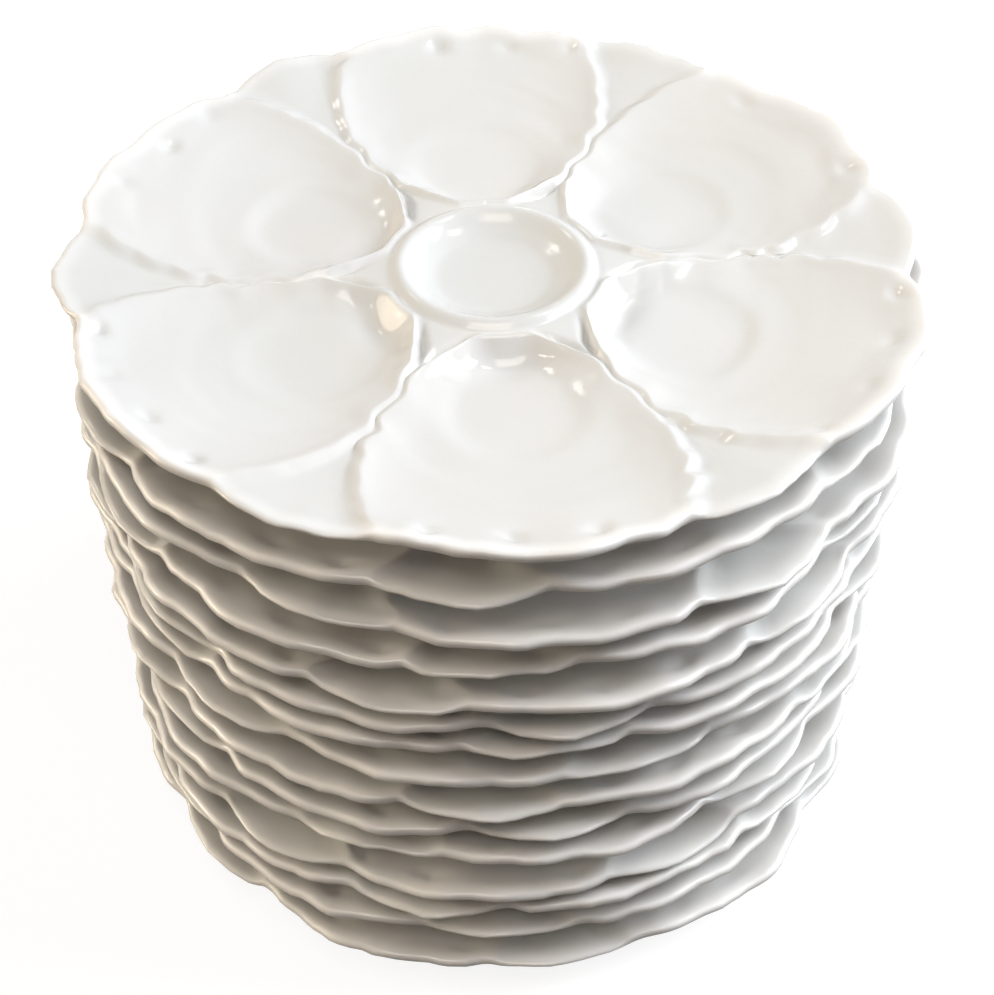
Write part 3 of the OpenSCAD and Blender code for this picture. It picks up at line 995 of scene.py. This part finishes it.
def chance(first, second):
    """A fixed random value for each pair of whole numbers and the plate's seed."""
    node = finish_tree.nodes.new("ShaderNodeTexWhiteNoise")
    finish_tree.links.new(vector_of(first, second, entry["Seed"]), node.inputs["Vector"])
    return node.outputs["Value"]


position = finish_tree.nodes.new("GeometryNodeInputPosition").outputs[0]
split = finish_tree.nodes.new("ShaderNodeSeparateXYZ")
finish_tree.links.new(position, split.inputs[0])
flat = vector_of(split.outputs[0], split.outputs[1])
radius = vector_math("LENGTH", flat).outputs["Value"]
outwards = vector_math("NORMALIZE", flat).outputs["Vector"]
around = math_node(finish_tree, "ARCTAN2", split.outputs[1], split.outputs[0])
print("nodes for place and direction:", len(finish_tree.nodes))

# %% What each point knows
# How often each noise swings, in waves a metre
SOFT_SCALE, PATCH_SCALE, WANDER_SCALE, BEND_SCALE, WARP_SCALE = 22.0, 34.0, 26.0, 11.0, 12.0
SCALLOP_FOOT_BAND = 0.055 * RIM_RADIUS
inside = named("inside")
cover = named("cover")
side = named("side")
growth = named("growth")
share_of_sector = named("share")
nearest_web = math_node(finish_tree, "ROUND", over(around, SECTOR))
web_number = math_node(
    finish_tree, "MODULO", add(nearest_web, float(SHELL_COUNT)), float(SHELL_COUNT)
)
soft = noise_node(finish_tree, flat, SOFT_SCALE, 1.0, entry["Seed"])
clear_of_foot = less(1.0, hump(radius, FOOT_PLACE_SHARE * RIM_RADIUS, SCALLOP_FOOT_BAND))
print("nodes so far:", len(finish_tree.nodes))

# %% Scallops of the lips, and the sway of the narrow webs
SCALLOP_DRIFT = 2.6
CUSP_ROUNDING, CUSP_LEVEL = 0.18, 0.76
PATCH_FADE = (0.36, 0.60)
LEAST_STRENGTH, ADDED_STRENGTH = 0.15, 1.1
SCALLOPS_START = (0.50 * RIM_RADIUS, 0.66 * RIM_RADIUS)
SWAY_START = (0.36 * RIM_RADIUS, 0.46 * RIM_RADIUS)
SWAY_END = (0.62 * RIM_RADIUS, 0.74 * RIM_RADIUS)
SWAY_BAND = 6 * MM
own_start = chance(web_number, side)
along = add(over(radius, entry["Scallop length"]), own_start, times(soft, SCALLOP_DRIFT))
wave_of_lip = math_node(finish_tree, "SINE", times(along, math.pi))
swell = math_node(finish_tree, "SQRT", add(times(wave_of_lip, wave_of_lip), CUSP_ROUNDING))
lobe = less(swell, CUSP_LEVEL)
near_lip = hump(inside, 0.0, entry["Scallop reach"])
patches = noise_node(finish_tree, flat, PATCH_SCALE, 1.0, add(entry["Seed"], 7.0))
own_strength = times(
    chance(web_number, times(side, 3.0)), fade(patches, *PATCH_FADE), ADDED_STRENGTH
)
strength = times(near_lip, fade(radius, *SCALLOPS_START), add(own_strength, LEAST_STRENGTH))
scallop = times(lobe, strength)
sway_turn = times(add(over(radius, entry["Sway length"]), chance(web_number, 7.0)), 2 * math.pi)
narrow = times(fade(radius, *SWAY_START), less(1.0, fade(radius, *SWAY_END)))
sway = times(math_node(finish_tree, "SINE", sway_turn), hump(inside, 0.0, SWAY_BAND), narrow)
swing = less(times(sway, entry["Sway"]), times(scallop, side, entry["Scallop depth"]))
lift = times(scallop, entry["Scallop lift"], cover, clear_of_foot)
print("nodes with scallops:", len(finish_tree.nodes))

# %% Growth lines and two broad steps round each shell's pocket
LINE_BEND, LINE_LEAN = 3.2, 0.8
LINE_PATCHES = (0.40, 0.62)
LINES_FROM_LIP = (3 * MM, 12 * MM)
LINES_FROM_POCKET = (12 * MM, 22 * MM)
TERRACE_BEND = 16 * MM
INNER_TERRACE, OUTER_TERRACE = (22 * MM, 16 * MM), (36 * MM, 30 * MM)
OUTER_TERRACE_SHARE = 0.7
TERRACES_FROM_LIP = (2 * MM, 9 * MM)
wander = noise_node(finish_tree, flat, WANDER_SCALE, 2.0, entry["Seed"])
bend = noise_node(finish_tree, flat, BEND_SCALE, 1.0, add(entry["Seed"], 2.0))
line_count = add(over(growth, entry["Growth spacing"]), times(bend, LINE_BEND))
line_turn = times(line_count, 2 * math.pi)
lean_of_line = times(math_node(finish_tree, "SINE", line_turn), LINE_LEAN)
leaning = math_node(finish_tree, "SINE", add(line_turn, lean_of_line))
in_shell = times(fade(inside, *LINES_FROM_LIP), fade(growth, *LINES_FROM_POCKET))
lines = times(leaning, in_shell, fade(soft, *LINE_PATCHES), entry["Growth height"], cover)
from_focus = add(growth, times(less(bend, 0.5), TERRACE_BEND))
terraces = add(
    fade(from_focus, *INNER_TERRACE), times(fade(from_focus, *OUTER_TERRACE), OUTER_TERRACE_SHARE)
)
terrace = times(terraces, fade(inside, *TERRACES_FROM_LIP), entry["Terrace depth"], cover)
print("nodes with growth lines:", len(finish_tree.nodes))

# %% Hollows at some hinge ends, and dark corners where some webs begin
# Middle and width of each dent, from the plate's middle and across its shell or lip
HOLLOW_RADII, HOLLOW_SHARES = (36.5 * MM, 4 * MM), (1.0, 0.40)
CORNER_RADII, CORNER_BAND = (38 * MM, 5.5 * MM), (-1.6 * MM, 1.3 * MM)
HOLLOW_CHANCE, CORNER_CHANCE = (0.3, 0.8), (0.2, 0.6)
shell_number = math_node(
    finish_tree, "MODULO", add(web_number, times(side, 0.5), SHELL_COUNT + 0.5), float(SHELL_COUNT)
)
hollow_place = times(hump(radius, *HOLLOW_RADII), hump(share_of_sector, *HOLLOW_SHARES))
hollow_strength = fade(chance(shell_number, 5.0), *HOLLOW_CHANCE)
hinge_hollow = times(hollow_place, hollow_strength, entry["Hollow depth"], cover)
corner_place = times(hump(radius, *CORNER_RADII), hump(inside, *CORNER_BAND))
corner_strength = fade(chance(web_number, times(side, 9.0)), *CORNER_CHANCE)
corner = times(corner_place, corner_strength, entry["Corner depth"], cover)
print("nodes with hollows:", len(finish_tree.nodes))

# %% Pits inside the rim
PIT_DRIFT, PIT_SHARPNESS = 5.0, 3.5
PIT_RADII = (0.945 * RIM_RADIUS, 2.6 * MM)
PITS_FROM_LIP, PIT_PATCHES = (1 * MM, 5 * MM), (0.36, 0.55)
pit_turn = add(times(around, entry["Pit count"]), times(soft, PIT_DRIFT))
below_peak = less(math_node(finish_tree, "COSINE", pit_turn), 1.0)
pits = math_node(finish_tree, "EXPONENT", times(below_peak, PIT_SHARPNESS))
pit_place = times(hump(radius, *PIT_RADII), fade(inside, *PITS_FROM_LIP))
pit = times(pits, pit_place, fade(wander, *PIT_PATCHES), entry["Pit depth"], cover)
print("nodes with pits:", len(finish_tree.nodes))

# %% Ripples and ruffles of the rim, and the kiln's warp
RIPPLES_START = (0.84 * RIM_RADIUS, 0.99 * RIM_RADIUS)
WARP_START = (0.58 * RIM_RADIUS, RIM_RADIUS)
OUTER_WEB, WEB_FROM_LIP = (0.5 * RIM_RADIUS, 0.8 * RIM_RADIUS), (-1 * MM, -5 * MM)
RIPPLE_LEVEL, OUTWARD_SCALE, UPWARD_SCALE = 0.52, 1.0, 0.8
FOLD_HEIGHT = 2.0 * MM
ring = scaled(outwards, over(RIM_RADIUS, entry["Ripple size"]))
to_edge = fade(radius, *RIPPLES_START)
to_rim = fade(radius, WAVE_START_SHARE * RIM_RADIUS, RIM_RADIUS)


def ruffle_wave(start):
    """The ruffles that the construction has too, as a value between -1 and 1."""
    broad_wave = math_node(finish_tree, "SINE", add(times(around, float(BROAD_RUFFLES)), start))
    short_wave = math_node(finish_tree, "SINE", less(times(around, float(SHORT_RUFFLES)), start))
    return times(add(broad_wave, short_wave), 0.5, to_rim)


out_noise = noise_node(finish_tree, ring, OUTWARD_SCALE, 1.0, entry["Seed"])
up_noise = noise_node(finish_tree, ring, UPWARD_SCALE, 0.0, add(entry["Seed"], 5.0))
ripple_out, ripple_up = less(out_noise, RIPPLE_LEVEL), less(up_noise, 0.5)
outward = add(
    times(ripple_out, to_edge, entry["Ripple reach"]),
    times(ruffle_wave(entry["Ruffle start"]), entry["Ruffle reach"]),
)
low_noise = noise_node(finish_tree, flat, WARP_SCALE, 1.0, entry["Seed"])
warp = times(less(low_noise, 0.5), fade(radius, *WARP_START), entry["Warp height"])
outer_web = times(fade(inside, *WEB_FROM_LIP), fade(radius, *OUTER_WEB))
fold = times(less(wander, 0.5), FOLD_HEIGHT, outer_web)
rise = add(
    lift,
    lines,
    warp,
    fold,
    times(ripple_up, to_edge, entry["Ripple height"]),
    times(ruffle_wave(entry["Rise start"]), entry["Ruffle height"]),
    times(add(pit, hinge_hollow, corner, terrace), -1.0),
)
print("nodes with ripples and ruffles:", len(finish_tree.nodes))

# %% Move the points, then turn, lean and lay the plate
tangent = vector_math("CROSS_PRODUCT", (0, 0, 1), outwards).outputs["Vector"]
level = vector_math("ADD", scaled(tangent, swing), scaled(outwards, outward))
offset = vector_math("ADD", level.outputs["Vector"], vector_of(z=rise)).outputs["Vector"]

moved = finish_tree.nodes.new("GeometryNodeSetPosition")
finish_tree.links.new(entry["Geometry"], moved.inputs["Geometry"])
finish_tree.links.new(offset, moved.inputs["Offset"])
turned = finish_tree.nodes.new("GeometryNodeTransform")
finish_tree.links.new(moved.outputs[0], turned.inputs["Geometry"])
finish_tree.links.new(vector_of(z=entry["Turn"]), turned.inputs["Rotation"])
laid = finish_tree.nodes.new("GeometryNodeTransform")
finish_tree.links.new(turned.outputs[0], laid.inputs["Geometry"])
finish_tree.links.new(entry["Lean"], laid.inputs["Rotation"])
finish_tree.links.new(entry["Place"], laid.inputs["Translation"])
print("nodes with the moves:", len(finish_tree.nodes))

# %% Smooth shading and materials
smooth = finish_tree.nodes.new("GeometryNodeSetShadeSmooth")
finish_tree.links.new(laid.outputs[0], smooth.inputs["Geometry"])
real = finish_tree.nodes.new("GeometryNodeRealizeInstances")
finish_tree.links.new(smooth.outputs[0], real.inputs[0])
glazed = finish_tree.nodes.new("GeometryNodeSetMaterial")
finish_tree.links.new(real.outputs[0], glazed.inputs["Geometry"])
finish_tree.links.new(entry["Glaze"], glazed.inputs["Material"])
footed = finish_tree.nodes.new("GeometryNodeSetMaterial")
finish_tree.links.new(glazed.outputs[0], footed.inputs["Geometry"])
finish_tree.links.new(
    math_node(finish_tree, "GREATER_THAN", named("bare"), 0.5), footed.inputs["Selection"]
)
finish_tree.links.new(entry["Bare body"], footed.inputs["Material"])
result = finish_tree.nodes.new("NodeGroupOutput")
finish_tree.links.new(footed.outputs[0], result.inputs[0])
print("nodes in the whole tree:", len(finish_tree.nodes))

# %% [markdown]
# ## The fifteen plates
# Each plate is an object with its own values for the tree. The top plate, whose face shows,
# has the fine mesh, and the others share the plain one. The result is baked to a plain
# mesh, the modifier is taken off, and the finished plate takes the place of its node in
# the frame and rides on its body.

# %% Bake one plate


def socket_identifier(name):
    """Identifier of a tree input, which the modifier needs in place of its name."""
    items = finish_tree.interface.items_tree
    return next(i.identifier for i in items if i.in_out == "INPUT" and i.name == name)


def bake_plate(name, mesh, values):
    """Runs the tree on a copy of the mesh and returns a plain finished piece."""
    raw = bpy.data.objects.new("raw_" + name, mesh.copy())
    bpy.context.collection.objects.link(raw)
    modifier = raw.modifiers.new("finish", "NODES")
    modifier.node_group = finish_tree
    for key, value in values.items():
        modifier[socket_identifier(key)] = value
    graph = bpy.context.evaluated_depsgraph_get()
    baked = bpy.data.meshes.new_from_object(raw.evaluated_get(graph))
    raw.modifiers.remove(modifier)
    bpy.data.objects.remove(raw)
    piece = bpy.data.objects.new(name + "_glazed", baked)
    baked.name = name + "_glazed"
    bpy.context.collection.objects.link(piece)
    return piece


print("identifier of Turn:", socket_identifier("Turn"))

# %% All fifteen
FIRST_SEED, SEED_STEP = 3.0, 1.7
for i, name in enumerate(PLATES):
    spot = slip(i) - middle + Vector((0, 0, rests[i]))
    piece = bake_plate(
        name,
        fine_mesh if name == "top_plate" else plain_mesh,
        {
            "Turn": math.radians(plate_turns[i]),
            "Lean": (LEAN_LIMIT * front_lean_shares[i], LEAN_LIMIT * side_lean_shares[i], 0.0),
            "Place": tuple(spot),
            "Ruffle start": RUFFLE_TURN * i,
            "Rise start": RUFFLE_TURN * (i + len(PLATES)),
            "Seed": FIRST_SEED + SEED_STEP * i,
            "Glaze": glaze,
            "Bare body": bare_body,
        },
    )
    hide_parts(name)
    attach(piece, name)
    print(name, "has", len(piece.data.polygons), "faces")

# %% View transform and the end
bpy.context.scene.view_settings.view_transform = "Standard"
